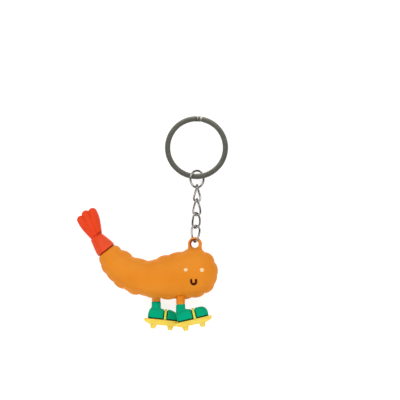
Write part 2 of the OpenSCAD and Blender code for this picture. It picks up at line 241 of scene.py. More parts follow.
def soften(bm, passes):
    for _ in range(passes):
        bmesh.ops.smooth_vert(bm, verts=bm.verts, factor=0.5, use_axis_x=True, use_axis_y=True, use_axis_z=True)


def pushOut(bm, amount):
    # moves every vertex along its normal by amount(places, normals)
    bm.normal_update()
    places = np.array([v.co for v in bm.verts])
    normals = np.array([v.normal for v in bm.verts])
    moved = places + normals * amount(places, normals)[:, None]
    for v, co in zip(bm.verts, moved.tolist()):
        v.co = co


def smoothStep(low, high, value):
    t = np.clip((value - low) / (high - low), 0, 1)
    return t * t * (3 - 2 * t)


def boxOf(node):
    low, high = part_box(node)
    return Vector(low) / mm, Vector(high) / mm


def nodeCopy(node):
    # the node's own mesh, its loose triangles joined up, in millimetres
    bm = bmesh.new()
    bm.from_mesh(frame["nodes"][node].data)
    bmesh.ops.remove_doubles(bm, verts=bm.verts, dist=1e-7)
    bmesh.ops.scale(bm, vec=(1 / mm, 1 / mm, 1 / mm), verts=bm.verts)
    return bm


def makePiece(bm, name, body, finish, nodes, crisp=None):
    bmesh.ops.scale(bm, vec=(mm, mm, mm), verts=bm.verts)
    for face in bm.faces:
        face.smooth = True
    mesh = bpy.data.meshes.new(name)
    bm.to_mesh(mesh)
    bm.free()
    if crisp:
        mesh.set_sharp_from_angle(angle=math.radians(crisp))
    mesh.materials.append(finish)
    piece = bpy.data.objects.new(name, mesh)
    bpy.context.collection.objects.link(piece)
    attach(piece, body)
    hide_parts(*nodes)
    return piece


# the camera looks straight down from far off, so that high pieces hardly shift
cameraPlan = {"over": (0.0200, 0.0352), "height": 2.4, "view": 0.1904, "sensor": 36}
camera = bpy.data.objects.new("camera", bpy.data.cameras.new("camera"))
bpy.context.collection.objects.link(camera)
camera.location = (*cameraPlan["over"], cameraPlan["height"])
camera.data.sensor_width = cameraPlan["sensor"]
camera.data.lens = cameraPlan["sensor"] * cameraPlan["height"] / cameraPlan["view"]
camera.data.clip_start = 0.01
camera.data.clip_end = 20
bpy.context.scene.camera = camera


def vinylShader(plan):
    return {"Subsurface Weight": plan["glow"], "Subsurface Radius": plan["bleed"], "Subsurface Scale": 0.0012,
            "IOR": 1.48, "Specular IOR Level": plan["sheen"]}


def vinylSurface(f, colour, cloud, plan):
    # fine grain, a slow swell from the mould, and scuffs that dull the gloss
    scuff = f.band(f.noise(260, 5), 0.55, 0.75)
    grain = f.bump(f.noise(2600, 3), plan["grain"], 0.00012)
    swell = f.bump(f.noise(420, 2), 0.35, 0.00008, grain)
    return f.done(colour, plan["rough"] + f.speck() * 0.08 + scuff * 0.1 + cloud * 0.04, swell)


def vinylFinish(name, pale, deep, plan):
    f = Finish(name, vinylShader(plan))
    cloud = f.cloud(plan["cloud"])
    return vinylSurface(f, f.mix(cloud * 0.7 + f.speck() * 0.3, pale, deep), cloud, plan)


def metalFinish(name, bright, dull, plan):
    f = Finish(name, {"Metallic": 1.0, "Specular Tint": plan["edge"]})
    stretched = f.node("ShaderNodeMapping", {}, {"Vector": f.place, "Scale": plan["stretch"]})
    hairline = f.noise(1.0, 4, stretched)
    tarnish = f.band(f.noise(480, 4), 0.45, 0.75)
    pits = f.band(f.noise(3200, 2), 0.6, 0.75)
    colour = f.mix(tarnish * plan["tarnish"] + pits * 0.15, bright, dull)
    rough = plan["rough"] + hairline * plan["brush"] + tarnish * 0.08
    lines = f.bump(hairline, plan["lines"], 0.00003)
    return f.done(colour, rough, f.bump(f.noise(1100, 2), 0.12, 0.00004, lines))


orangePlan = {"cloud": 75, "glow": 0.12, "bleed": (1.0, 0.45, 0.15), "sheen": 0.2, "rough": 0.46,
              "grain": 0.25,
              # the last colour is painted shade for the upper side of the tab's hole
              "pale": ink(236, 144, 34), "deep": ink(230, 136, 22), "paintedHoleShade": ink(140, 40, 12)}
orangeVinyl = vinylFinish("orange_vinyl", orangePlan["pale"], orangePlan["deep"], orangePlan)
yellowPlan = {"cloud": 150, "glow": 0.1, "bleed": (1.0, 0.8, 0.3), "sheen": 0.25, "rough": 0.44,
              "grain": 0.22}
yellowVinyl = vinylFinish("yellow_vinyl", ink(250, 222, 98), ink(243, 210, 78), yellowPlan)
yellowTrim = vinylFinish("yellow_trim", ink(222, 226, 92), ink(212, 214, 76), yellowPlan)
enamelPlan = {"cloud": 300, "glow": 0.05, "bleed": (1.0, 0.8, 0.6), "sheen": 0.5, "rough": 0.28,
              "grain": 0.12}
creamEnamel = vinylFinish("cream_enamel", ink(255, 224, 176), ink(250, 214, 160), enamelPlan)
brownPlan = {"cloud": 300, "glow": 0, "bleed": (1.0, 0.4, 0.3), "sheen": 0.1, "rough": 0.4, "grain": 0.12}
brownEnamel = vinylFinish("brown_enamel", ink(80, 20, 4), ink(62, 12, 2), brownPlan)
nickelPlan = {"stretch": (900, 900, 900), "tarnish": 0.5, "rough": 0.13, "brush": 0.1, "lines": 0.08,
              "edge": (0.02, 0.02, 0.02, 1)}
nickelWire = metalFinish("nickel_wire", (0.37, 0.362, 0.34, 1), (0.22, 0.215, 0.2, 1), nickelPlan)
print("finishes made")


# torso, with the hanging tab in one piece
smilePlan = {"line": 0.9, "bend": 1.15, "arm": 0.95, "sunk": 0.5, "sunkEdge": (0.42, 0.72), "deep": 0.5}
eyePlan = {"sunk": 0.16, "sunkEdge": (0.9, 1.55), "back": ((0, 0.9), (0.5, 1.0)),
           # the front's rounded edge: depth, share of the radius
           "front": ((0.16, 1.0), (0.08, 0.97), (0.03, 0.86), (0.005, 0.6), (0, 0.2))}
torsoPlan = {
    "span": 41.2, "rise": 11.2, "headRadius": 11.5, "tailRadius": 4.75, "halfDepth": 7.6, "power": 2.2,
    "stations": [(0, 1, 0, 0), (0.11, 0.49, 0.34, 0.5), (0.27, 0.03, 0.49, 0.8), (0.49, -0.18, 0.6, 0.94),
                 (0.7, -0.13, 0.83, 1), (0.88, -0.05, 0.95, 1), (1, 0.07, 1, 1)],
    "tailEdge": ((0.5, 0.02), (0.14, 0.12), (0, 0.5)),  # inset, distance from the end
    "holeRadius": 1.7, "tabRim": 1.7, "tabThick": 1.4,
    "sunk": 0.34, "voxel": 0.22,
    # lumps round the outline: x, y and height, in order from the tail over the top
    "crumbs": [(-19.6, 14.0, 0.75), (-14.0, 10.9, 0.75), (-8.0, 8.5, 0.6), (2.2, 9.2, 0.6), (7.9, 10.5, 0.7),
               (25.6, 9.0, 0.7), (28.0, 2.6, 0.5), (27.6, -2.8, 0.35), (25.0, -7.2, 0.75), (19.3, -10.8, 0.75),
               (13.3, -12.1, 0.6), (4.4, -12.2, 0.7), (-2.7, -10.9, 0.5), (-12.3, -10.1, 0.9),
               (-19.3, -6.0, 0.85), (-22.8, -1.8, 0.6), (-26.2, 2.1, 0.8), (-27.6, 6.8, 0.6)],
    "crumbRadius": 3.3, "crumbGain": 1.12, "crumbGap": 11.5, "crumbTall": 0.62, "crumbPower": 0.8,
    # staggered rows nearer the back and the front: radius, z, share of the height, share of the way out
    "rows": ((3.2, 2.2, 0.75, 0.9), (3.0, 11.4, 0.28, 0.93)),
    "flatSide": (0.08, 0.5), "tabFree": (4.6, 6.0), "jointFree": (0.5, 2.2), "dents": 0.05,
    "tabPower": 2.8, "tabSlack": (0.02, 0.03),
    # the web under the tab: y from its foot, half width, half thickness
    "web": ((-3.2, 4.4, 1.3), (-1.4, 3.9, 1.0), (-0.3, 3.3, 0.78), (0.9, 2.9, 0.62), (1.4, 2.2, 0.3)),
    "webFoot": 3.3, "webPower": 2.6,
    # a rib down each side of the tab: y from its middle, radius
    "rib": ((-4.6, 0.8), (-3.0, 0.76), (-1.6, 0.72), (-0.6, 0.62)), "ribOut": 2.62, "ribFlat": 0.92,
}
# how much of each leg shows, and how far its top leans to the front
legPlan = {"rear": {"show": 1.5, "lean": 0.5}, "front": {"show": 2.2, "lean": -2.2},
           "hipDeep": 0.35, "hipWide": (2.3, 2.9), "hipBelow": (-10.6, -9.6)}


def torsoStation(t):
    # Catmull-Rom through the stations
    rows = torsoPlan["stations"]
    spot = t * (len(rows) - 1)
    i = min(int(spot), len(rows) - 2)
    f = spot - i
    a, b, c, d = (Vector(rows[max(min(k, len(rows) - 1), 0)]) for k in (i - 1, i, i + 1, i + 2))
    bend, twist = 2 * a - 5 * b + 4 * c - d, 3 * b - a - 3 * c + d
    return 0.5 * (2 * b + (c - a) * f + bend * f ** 2 + twist * f ** 3)


torsoLow, torsoHigh = boxOf("torso")
axisZ = torsoHigh.z - torsoPlan["halfDepth"]
headX = torsoHigh.x - torsoPlan["headRadius"] - 0.01
tabRadius = torsoPlan["holeRadius"] + torsoPlan["tabRim"]
tabMid = Vector((headX + 0.7, torsoHigh.y - tabRadius, axisZ))
headMid = Vector((headX, tabMid.y - torsoPlan["holeRadius"] - torsoPlan["headRadius"] - 0.3, axisZ))


def torsoMiddle(t):
    s = torsoStation(t)
    return Vector((headX - torsoPlan["span"] * (1 - s[0]), torsoPlan["rise"] * s[1], axisZ))


def torsoHeading(t):
    return (torsoMiddle(min(t + 0.01, 1)) - torsoMiddle(max(t - 0.01, 0))).normalized()


def torsoSpots():
    p = torsoPlan
    spots = []

    def add(middle, heading, radius, depth):
        spots.append(placement(middle, zUp.cross(heading) * radius, zUp * depth, heading))

    for i in range(49):
        t = i / 48
        s = torsoStation(t)
        heading = torsoHeading(t)
        radius = p["tailRadius"] + (p["headRadius"] - p["tailRadius"]) * s[2]
        depth = p["tailRadius"] + (p["halfDepth"] - p["tailRadius"]) * s[3]
        if i:
            add(torsoMiddle(t), heading, radius, depth)
        else:  # a softly rounded edge at the tail's joint
            for inset, back in p["tailEdge"]:
                add(torsoMiddle(0) + heading * back, heading, radius - inset, depth - inset)
    heading = torsoHeading(1)
    for k in range(1, 24):
        a = math.pi / 2 * k / 23.4
        add(headMid + heading * p["headRadius"] * math.sin(a), heading, p["headRadius"] * math.cos(a),
            p["halfDepth"] * math.cos(a))
    return spots


def crumbHeight(places, normals):
    p = torsoPlan
    ring = [(x, y, axisZ, p["crumbRadius"], h) for x, y, h in p["crumbs"]]
    for radius, z, share, out in p["rows"]:
        for (ax, ay, ah), (bx, by, bh) in zip(p["crumbs"], p["crumbs"][1:]):
            if (ax - bx) ** 2 + (ay - by) ** 2 > p["crumbGap"] ** 2:
                continue
            middle = Vector(((ax + bx) / 2, (ay + by) / 2)) * out
            ring.append((middle.x, middle.y, z, radius, share * (ah + bh) / 2))
    best = np.zeros(len(places))
    for x, y, z, radius, height in ring:
        away = np.linalg.norm((places - (x, y, z)) * (1, 1, p["crumbTall"]), axis=1) / radius
        best = np.maximum(best, p["crumbGain"] * height * np.clip(1 - away ** 2, 0, None) ** p["crumbPower"])
    side = 1 - np.abs(normals[:, 2])
    edge = smoothStep(*p["flatSide"], side)
    tab = smoothStep(*p["tabFree"], np.linalg.norm(places[:, :2] - tabMid.xy, axis=1))
    joint = smoothStep(*p["jointFree"], (places - torsoMiddle(0)) @ np.array(torsoHeading(0)))
    # shallow dents over the front, so that it isn't dead flat
    x, y = places[:, 0], places[:, 1]
    wave = p["dents"] * np.sin(x * 0.62 + 1.1) * np.sin(y * 0.71 + x * 0.12)
    return ((best - p["sunk"]) * edge + wave * (1 - edge)) * tab * joint


def smilePath():
    low, high = boxOf("mouth")
    line, bend, arm = smilePlan["line"], smilePlan["bend"], smilePlan["arm"]
    base = Vector(((low.x + high.x) / 2, low.y + line / 2 + bend, 0))
    path = [base + Vector((-bend, arm * (1 - k / 5), 0)) for k in range(5)]
    for k in range(17):
        a = math.pi * k / 16
        path.append(base + Vector((-bend * math.cos(a), -bend * math.sin(a), 0)))
    return path + [base + Vector((bend, arm * k / 5, 0)) for k in range(1, 6)]


def hipGrooves(places, normals):
    # the torso is drawn in a little round each leg's top
    p = legPlan
    out = np.zeros(len(places))
    for side in ("rear", "front"):
        low, high = boxOf(side + "_leg")
        hip = (low + high) / 2
        away = np.linalg.norm(places[:, [0, 2]] - (hip.x, hip.z + p[side]["lean"] * 0.7), axis=1)
        lowEnough = 1 - smoothStep(*p["hipBelow"], places[:, 1])
        out -= p["hipDeep"] * (1 - smoothStep(*p["hipWide"], away)) * lowEnough
    return out


def faceDents(places, normals):
    out = np.zeros(len(places))
    line = np.array(smilePath())[:, :2]
    close = np.linalg.norm(places[:, :2] - line.mean(axis=0), axis=1) < 4
    near = np.where(close & (places[:, 2] > axisZ))[0]
    gap = np.linalg.norm(places[near][:, None, :2] - line[None], axis=2).min(axis=1)
    out[near] -= smilePlan["sunk"] * (1 - smoothStep(*smilePlan["sunkEdge"], gap))
    for node in ("eye_left", "eye_right"):
        low, high = boxOf(node)
        away = np.linalg.norm(places[:, :2] - ((low + high) / 2).xy, axis=1)
        out -= eyePlan["sunk"] * (1 - smoothStep(*eyePlan["sunkEdge"], away)) * (places[:, 2] > axisZ)
    return out


def torsoVinyl():
    # the orange of the legs, with painted shade at the upper side of the tab's hole
    p = orangePlan
    f = Finish("torso_orange_vinyl", vinylShader(p))
    cloud = f.cloud(p["cloud"])
    body = f.mix(cloud * 0.7 + f.speck() * 0.3, p["pale"], p["deep"])
    # painted shade: dark within 1.9 mm, fading out by 2.3 mm, of a point up and to the left of the hole's
    # middle
    paintedHoleShade = tabMid * mm + Vector((-0.0004, 0.0004, 0))
    away = f.distance(f.vector("SUBTRACT", f.place, paintedHoleShade))
    return vinylSurface(f, f.mix(f.band(away, 0.0019, 0.0023), p["paintedHoleShade"], body), cloud, p)


def makeTorso():
    p = torsoPlan
    bm = bmesh.new()
    drawSkin(bm, 72, torsoSpots(), p["power"])
    # the tab: a rounded section spun round its hole
    reach = p["tabRim"] / 2
    slackOut, slackUp = p["tabSlack"]
    section = placement(tabMid + Vector((p["holeRadius"] + reach, 0, 0)), Vector((reach - slackOut, 0, 0)),
                        Vector((0, 0, p["tabThick"] / 2 - slackUp)), yUp)
    ring, edges = roundedRing(bm, 24, p["tabPower"], section)
    bmesh.ops.spin(bm, geom=ring + edges, cent=tabMid, axis=zUp, angle=math.tau, steps=64, use_merge=True)
    # a web and two ribs that run the tab into the head
    foot = tabMid - yUp * p["webFoot"]
    drawSkin(bm, 32, [placement(foot + yUp * y, Vector((wide, 0, 0)), zUp * thick, yUp)
                      for y, wide, thick in p["web"]], p["webPower"])
    for x in (-p["ribOut"], p["ribOut"]):
        path = [tabMid + Vector((x, y, 0)) for y, _ in p["rib"]]
        drawSkin(bm, 20, capsuleSpots(path, [r for _, r in p["rib"]], zUp, p["ribFlat"]))
    bmesh.ops.recalc_face_normals(bm, faces=bm.faces)
    bm = mould(bm, p["voxel"], 3)
    pushOut(bm, crumbHeight)
    soften(bm, 3)
    pushOut(bm, faceDents)
    pushOut(bm, hipGrooves)
    for v in bm.verts:
        v.co.z = min(max(v.co.z, 0), torsoHigh.z)
    makePiece(bm, "torsoMoulding", "figure", torsoVinyl(), ["torso"])


makeTorso()
print("torso made")


# tail: a collar, a neck and three lobes, x running out of the torso
tailPlan = {
    # the collar's sections: x, radius
    "collar": [(-1.2, 3.9), (0.1, 4.0), (0.16, 4.4), (0.28, 4.62), (0.42, 4.72), (0.75, 4.75), (1.7, 4.66),
               (3.2, 4.35), (4.8, 3.98), (6.6, 3.5), (7.6, 3.22), (8.3, 3.0), (8.55, 2.5)],
    "lobesFrom": 7.9,
    # each lobe: turn, start across the neck, length, height, radii from the neck out
    "lobes": [(-1.0, 0.9, 12.6, -0.45, (1.5, 1.8, 2.1, 2.3, 2.3, 2.0)),
              (-11.0, -0.4, 13.4, 0.35, (1.4, 1.75, 2.1, 2.35, 2.4, 2.15)),
              (-21.5, -1.65, 13.0, -0.35, (1.4, 1.8, 2.15, 2.45, 2.5, 2.15))],
    "flat": 1.0, "ridge": 1.75, "voxel": 0.17,
}
tailHeading = torsoHeading(0)
tailFrame = (Matrix.Translation(torsoMiddle(0))
             @ Matrix.Rotation(math.atan2(-tailHeading.y, -tailHeading.x), 4, "Z"))
redPlan = {"cloud": 110, "glow": 0.1, "bleed": (1.0, 0.25, 0.1), "sheen": 0.2, "rough": 0.44, "grain": 0.25,
           "collar": ink(238, 84, 40), "fan": ink(236, 70, 24), "deep": ink(226, 58, 14),
           # the last two colours are painted shade, for the lobe's crease and the seam at the torso
           "creaseShade": ink(150, 22, 4), "seam": ink(156, 26, 8),
           # where they fade in and out, in metres from the torso
           "fanFrom": (0.004, 0.0095), "creaseFrom": (0.0078, 0.0086), "creaseTo": (0.0086, 0.0098),
           "creaseAcross": (-0.0022, 0.0004), "seamShadeTo": (0.00042, 0.0007)}


def redVinyl():
    # the collar is a touch lighter than the fan, with painted shade where it meets the torso
    p = redPlan
    f = Finish("red_vinyl", vinylShader(p))
    here = f.within(tailFrame)
    outward, across = f.part(here, "X"), f.part(here, "Y")
    wobble = (f.noise(500, 2) - 0.5) * 0.0002
    cloud = f.cloud(p["cloud"])
    body = f.mix(f.band(outward, *p["fanFrom"]), p["collar"], p["fan"])
    body = f.mix(cloud * 0.45, body, p["deep"])
    # painted shade too in the crease where the fan's right lobe springs from the neck
    creaseShade = f.band(outward, *p["creaseFrom"]) * (1 - f.band(outward, *p["creaseTo"]))
    body = f.mix(creaseShade * (1 - f.band(across, *p["creaseAcross"])) * 0.62, body, p["creaseShade"])
    # the seam colour is painted shade along the joint with the torso, fading out by 0.7 mm
    return vinylSurface(f, f.mix(f.band(outward + wobble, *p["seamShadeTo"]), p["seam"], body), cloud, p)


def makeTail():
    p = tailPlan
    bm = bmesh.new()
    drawSkin(bm, 48, [placement(xUp * x, yUp * r, zUp * r, xUp) for x, r in p["collar"]])
    for turn, start, length, high, radii in p["lobes"]:
        way = Matrix.Rotation(math.radians(turn), 3, "Z") @ xUp
        first = Vector((p["lobesFrom"], start, high * 0.4))
        reach = length + 0.5 - radii[-1]
        step = way * (reach / (len(radii) - 1)) + zUp * (high / 6)
        path = [first + step * k for k in range(len(radii))]
        drawSkin(bm, 32, capsuleSpots(path, radii, zUp, p["flat"]), p["ridge"])
    bm = mould(bm, p["voxel"], 2)
    bmesh.ops.transform(bm, matrix=tailFrame, verts=bm.verts)
    makePiece(bm, "tailFan", "figure", redVinyl(), ["tail"])


makeTail()
print("tail made")


# face
def makeEye(node):
    low, high = boxOf(node)
    middle, radius = (low + high) / 2, (high.x - low.x) / 2
    rows = [(low.z + up, r) for up, r in eyePlan["back"]]
    rows += [(high.z - down, r) for down, r in eyePlan["front"]]
    bm = bmesh.new()
    drawSkin(bm, 40, [placement((middle.x, middle.y, z), xUp * radius * r, yUp * radius * r, zUp)
                      for z, r in rows])
    makePiece(bm, node + "_dot", "figure", creamEnamel, [node])


def makeMouth():
    high = boxOf("mouth")[1].z
    path = [p + zUp * (high - smilePlan["deep"]) for p in smilePath()]
    radius = smilePlan["line"] / 2 + 0.04
    bm = bmesh.new()
    drawSkin(bm, 24, capsuleSpots(path, [radius] * len(path), zUp, 0.9), 2.6)
    makePiece(bm, "smileLine", "figure", brownEnamel, ["mouth"])


makeEye("eye_left")
makeEye("eye_right")
makeMouth()
print("face made")


# legs and boots: x runs from heel to toe, y up from the sole, z across
bootPlan = {
    "shaftX": 3.25, "height": 8.4, "legRadius": 2.15,
    "turns": {"rear": -6, "front": 13}, "mouthTilt": {"rear": 0, "front": 6},
    # the foot's sections: x from the heel, top, half width
    "foot": [(0.0, 2.0, 1.7), (0.12, 3.0, 2.25), (0.5, 4.2, 2.7), (1.2, 5.2, 2.95), (2.2, 5.7, 3.05),
             (3.6, 5.8, 3.08), (5.0, 5.6, 3.05), (6.2, 5.15, 3.0), (7.4, 4.98, 2.98), (8.8, 5.02, 3.03)],
    "toes": {"rear": [(10.2, 5.05, 3.09), (11.5, 4.75, 3.07), (12.7, 4.2, 2.95), (13.7, 3.5, 2.6),
                      (14.5, 2.7, 2.1), (15.0, 2.0, 1.5)],
             "front": [(10.4, 5.1, 3.09), (11.8, 5.12, 3.09), (13.0, 4.95, 3.0), (14.0, 4.4, 2.7),
                       (14.7, 3.5, 2.2), (15.05, 2.6, 1.6)]},
    # the shaft's sections: y from its mouth, radius, share of the mouth's tilt
    "shaft": [(-6.2, 2.3, 0), (-3.0, 2.24, 0), (-1.6, 2.2, 0), (-0.75, 2.2, 0.7), (-0.35, 2.2, 1),
              (-0.23, 2.12, 1), (-0.17, 1.95, 1)],
    "power": 2.7, "below": 1.0, "groove": 0.6, "grooveWide": 0.42, "welt": 0.45, "weltHigh": (0.3, 0.55),
    "voxel": 0.15,
    "strapX": 8.3, "strapWide": 1.1, "strapProud": 0.22, "strapThick": 0.85, "strapLift": 0.04,
    "strapEdge": 0.12,
}


def bootFrame(side):
    # where the leg meets the boot, and the boot's own frame
    p = bootPlan
    legLow, legHigh = boxOf(side + "_leg")
    bootHigh = boxOf(side + "_boot")[1]
    ankle = Vector(((legLow.x + legHigh.x) / 2, bootHigh.y, (legLow.z + legHigh.z) / 2))
    turn = Matrix.Rotation(math.radians(p["turns"][side]), 4, "Z")
    return ankle, Matrix.Translation(ankle) @ turn @ Matrix.Translation((-p["shaftX"], -p["height"], 0))


greenPlan = {"cloud": 140, "glow": 0.05, "bleed": (0.2, 0.8, 0.5), "sheen": 0.14, "rough": 0.46,
             "grain": 0.22,
             # the line colour is painted shade, for the grooves beside the strap and the sole's glue line
             "pale": ink(0, 170, 126), "deep": ink(0, 160, 115), "line": ink(4, 40, 14),
           # the painted shade lines' soft edges: metres from the strap's middle, and up from the sole
           "besideStrap": (0.00092, 0.00118), "overSole": (0.00042, 0.00075)}


def bootVinyl(side):
    # painted shade in the grooves beside the strap and where the sole is glued on
    p = greenPlan
    f = Finish(side + "_green_vinyl", {**vinylShader(p), "Specular Tint": (0.35, 1.0, 0.8, 1)})
    here = f.within(bootFrame(side)[1])
    along = f.part(here, "X") + (f.noise(700, 2) - 0.5) * 0.00016
    rise = f.part(here, "Y") + (f.noise(650, 2) - 0.5) * 0.0002
    away = f.node("ShaderNodeMath", {"operation": "ABSOLUTE"}, {0: along - bootPlan["strapX"] * mm})
    # painted shade masks: beside the strap, and along the sole's glue line
    groove = 1 - f.band(away, *p["besideStrap"])
    glueShade = 1 - f.band(rise, *p["overSole"])
    line = f.node("ShaderNodeMath", {"operation": "MAXIMUM"}, {0: groove, 1: glueShade})
    cloud = f.cloud(p["cloud"])
    return vinylSurface(f, f.mix(line, f.mix(cloud * 0.7, p["pale"], p["deep"]), p["line"]), cloud, p)


def footSpots(rows, grow=0.0):
    below = bootPlan["below"]
    return [placement((x, (top - below) / 2, 0), zUp * (half + grow), yUp * ((top + below) / 2 + grow), xUp)
            for x, top, half in rows]


def sectionAt(rows, x):
    for (ax, at, aw), (bx, bt, bw) in zip(rows, rows[1:]):
        if ax <= x <= bx:
            f = (x - ax) / (bx - ax)
            return (x, at + (bt - at) * f, aw + (bw - aw) * f)


def cutBelow(bm, height=0.0):
    # a flat underside at that height
    cut = bmesh.ops.bisect_plane(bm, geom=bm.verts[:] + bm.edges[:] + bm.faces[:], plane_co=(0, height, 0),
                                 plane_no=(0, -1, 0), clear_outer=True)
    return [g for g in cut["geom_cut"] if isinstance(g, bmesh.types.BMEdge)]


def makeBoot(side):
    p = bootPlan
    foot = p["foot"] + p["toes"][side]
    bm = bmesh.new()
    drawSkin(bm, 40, footSpots(foot), p["power"])
    bmesh.ops.holes_fill(bm, edges=cutBelow(bm), sides=0)
    # the shaft stands straight under the leg, so it is turned back in the boot's frame
    up = Matrix.Rotation(-math.radians(p["turns"][side]), 3, "Z") @ yUp
    top = Vector((p["shaftX"], p["height"], 0))
    spots = []
    for y, r, share in p["shaft"]:
        tilted = Matrix.Rotation(math.radians(p["mouthTilt"][side] * share), 3, "Z") @ up
        spots.append(placement(top + up * y, tilted.cross(zUp) * r, zUp * r, tilted))
    drawSkin(bm, 40, spots)
    bmesh.ops.recalc_face_normals(bm, faces=bm.faces)
    bm = mould(bm, p["voxel"], 3)

    def strapGroove(places, normals):
        away = np.abs(places[:, 0] - p["strapX"])
        edge = p["strapWide"] / 2 + p["grooveWide"]
        beside = (1 - smoothStep(edge - 0.12, edge + 0.1, away)) * smoothStep(-0.05, 0.1, places[:, 1])
        flatSide = 1 - smoothStep(0.5, 0.9, np.abs(normals[:, 1]))
        return -p["groove"] * beside - p["welt"] * (1 - smoothStep(*p["weltHigh"], places[:, 1])) * flatSide

    pushOut(bm, strapGroove)
    soften(bm, 1)
    bmesh.ops.transform(bm, matrix=bootFrame(side)[1], verts=bm.verts)
    makePiece(bm, side + "BootShell", "figure", bootVinyl(side), [side + "_boot"])
    makeStrap(side, foot)


def makeStrap(side, foot):
    # a slice of the foot's skin, thickened and eased at its edges
    p = bootPlan
    bm = bmesh.new()
    half = p["strapWide"] / 2
    rows = [sectionAt(foot, p["strapX"] + x) for x in (-half, -half / 2, 0, half / 2, half)]
    drawSkin(bm, 48, footSpots(rows, p["strapProud"]), p["power"])
    caps = [f for f in bm.faces if abs(f.normal.x) > 0.9]
    bmesh.ops.delete(bm, geom=caps, context="FACES_ONLY")
    cutBelow(bm, p["strapLift"])
    bmesh.ops.recalc_face_normals(bm, faces=bm.faces)
    inside = Vector((p["strapX"], 2, 0))
    if sum(f.normal.dot(f.calc_center_median() - inside) for f in bm.faces) <= 0:
        bmesh.ops.reverse_faces(bm, faces=bm.faces)
    bmesh.ops.solidify(bm, geom=bm.faces[:], thickness=p["strapThick"])
    bmesh.ops.recalc_face_normals(bm, faces=bm.faces)
    ease(bm, [e for e in bm.edges if len(e.link_faces) == 2 and e.calc_face_angle() > 0.9], p["strapEdge"], 3)
    bmesh.ops.transform(bm, matrix=bootFrame(side)[1], verts=bm.verts)
    makePiece(bm, side + "StrapBand", "figure", yellowTrim, [side + "_strap"], 50)


solePlan = {"thick": 2.6, "past": 1.6, "halfWide": 3.45, "bootLength": 15.1, "tipBack": 0.4, "gap": 0.02,
            # the ends' outline: x in from the tip or the heel, share of the thickness
            "tip": ((0, 0.42), (0.9, 0.72), (2.7, 1)), "heel": ((2.9, 1), (1.1, 0.72), (0.1, 0.42)),
            "endEdge": 0.42, "topEdge": 0.5, "voxel": 0.16,
            "studs": (3.02, 11.17), "studHigh": 2.0, "studTop": 1.62, "studEnd": 1.05, "studInto": 0.5}


def makeSole(side):
    p = solePlan
    thick, wide = p["thick"], p["halfWide"]
    heel, tip = -p["past"], p["bootLength"] + p["past"] - p["tipBack"]
    bm = bmesh.new()
    outline = [(heel, -p["gap"]), (tip, -p["gap"])]
    outline += [(tip - x, -thick * share) for x, share in p["tip"]]
    outline += [(heel + x, -thick * share) for x, share in p["heel"]]
    bm.faces.new([bm.verts.new((x, y, -wide)) for x, y in outline])
    made = bmesh.ops.extrude_face_region(bm, geom=bm.faces[:])["geom"]
    bmesh.ops.translate(bm, vec=zUp * 2 * wide, verts=[g for g in made if isinstance(g, bmesh.types.BMVert)])
    bmesh.ops.recalc_face_normals(bm, faces=bm.faces)

    def edgesWhere(test):
        return [e for e in bm.edges if test(*(e.verts[0].co - e.verts[1].co), e.verts[0].co.y)]

    ease(bm, edgesWhere(lambda x, y, z, rise: abs(x) < 1.2 and abs(z) < 0.1), p["endEdge"], 4)
    ease(bm, edgesWhere(lambda x, y, z, rise: abs(z) > 3 and rise > -0.5 and abs(y) < 0.01), p["topEdge"], 3)
    upright = Matrix.Rotation(math.radians(90), 4, "X")
    for x in p["studs"]:
        for z in (-wide / 2, wide / 2):
            middle = Matrix.Translation((x, (p["studInto"] - p["studHigh"]) / 2 - thick, z))
            bmesh.ops.create_cone(bm, cap_ends=True, segments=28, radius1=p["studTop"], radius2=p["studEnd"],
                                  depth=p["studHigh"] + p["studInto"], matrix=middle @ upright)
    bmesh.ops.recalc_face_normals(bm, faces=bm.faces)
    bm = mould(bm, p["voxel"], 2)
    bmesh.ops.transform(bm, matrix=bootFrame(side)[1], verts=bm.verts)
    makePiece(bm, side + "SolePlate", "figure", yellowVinyl, [side + "_sole"])


def makeLeg(side):
    show, lean = legPlan[side]["show"], legPlan[side]["lean"]
    ankle = bootFrame(side)[0]
    # the leg's sections: y from the boot's mouth, share of its radius
    rows = [(-1.0, 0.84), (-0.3, 0.84), (0.0, 0.93), (0.4, 0.965), (show * 0.5, 0.96), (show + 0.2, 0.98),
            (show + 1.4, 1)]
    path = [ankle + Vector((0, y, lean * max(y - 0.3, 0) / (show + 1.0))) for y, _ in rows]
    bm = bmesh.new()
    drawSkin(bm, 40, capsuleSpots(path, [bootPlan["legRadius"] * share for _, share in rows], zUp, 1.0, 6))
    makePiece(bm, side + "LegStem", "figure", orangeVinyl, [side + "_leg"])


for side in ("rear", "front"):
    makeBoot(side)
    makeSole(side)
    makeLeg(side)
print("legs and boots made")


# the chain
linkPlan = {"bodies": ("end_link", "second_link", "third_link", "top_link"), "fuller": 0.03}


def makeLink(number, body):
    node = f"chain_link_{number}"
    bm = nodeCopy(node)
    bmesh.ops.join_triangles(bm, faces=bm.faces, angle_face_threshold=math.pi, angle_shape_threshold=math.pi)
    # makes up for most of what subdividing draws in, and leaves room between hooked wires
    pushOut(bm, lambda places, normals: np.full(len(places), linkPlan["fuller"]))
    link = makePiece(bm, f"twistedLink{number}", body, nickelWire, [node])
    smooth = link.modifiers.new("roundWire", "SUBSURF")
    smooth.levels = smooth.render_levels = 2


for number, body in enumerate(linkPlan["bodies"], 1):
    makeLink(number, body)

jumpPlan = {"outside": 9.0, "wire": 1.0, "tilt": 38.5, "seam": 4, "seamAt": 60, "sections": 88,
            # the wire's cut ends: share of the way round, share of the radius
            "ends": ((0.0, 0.72), (0.004, 0.9), (0.012, 0.985), (0.03, 1.0))}


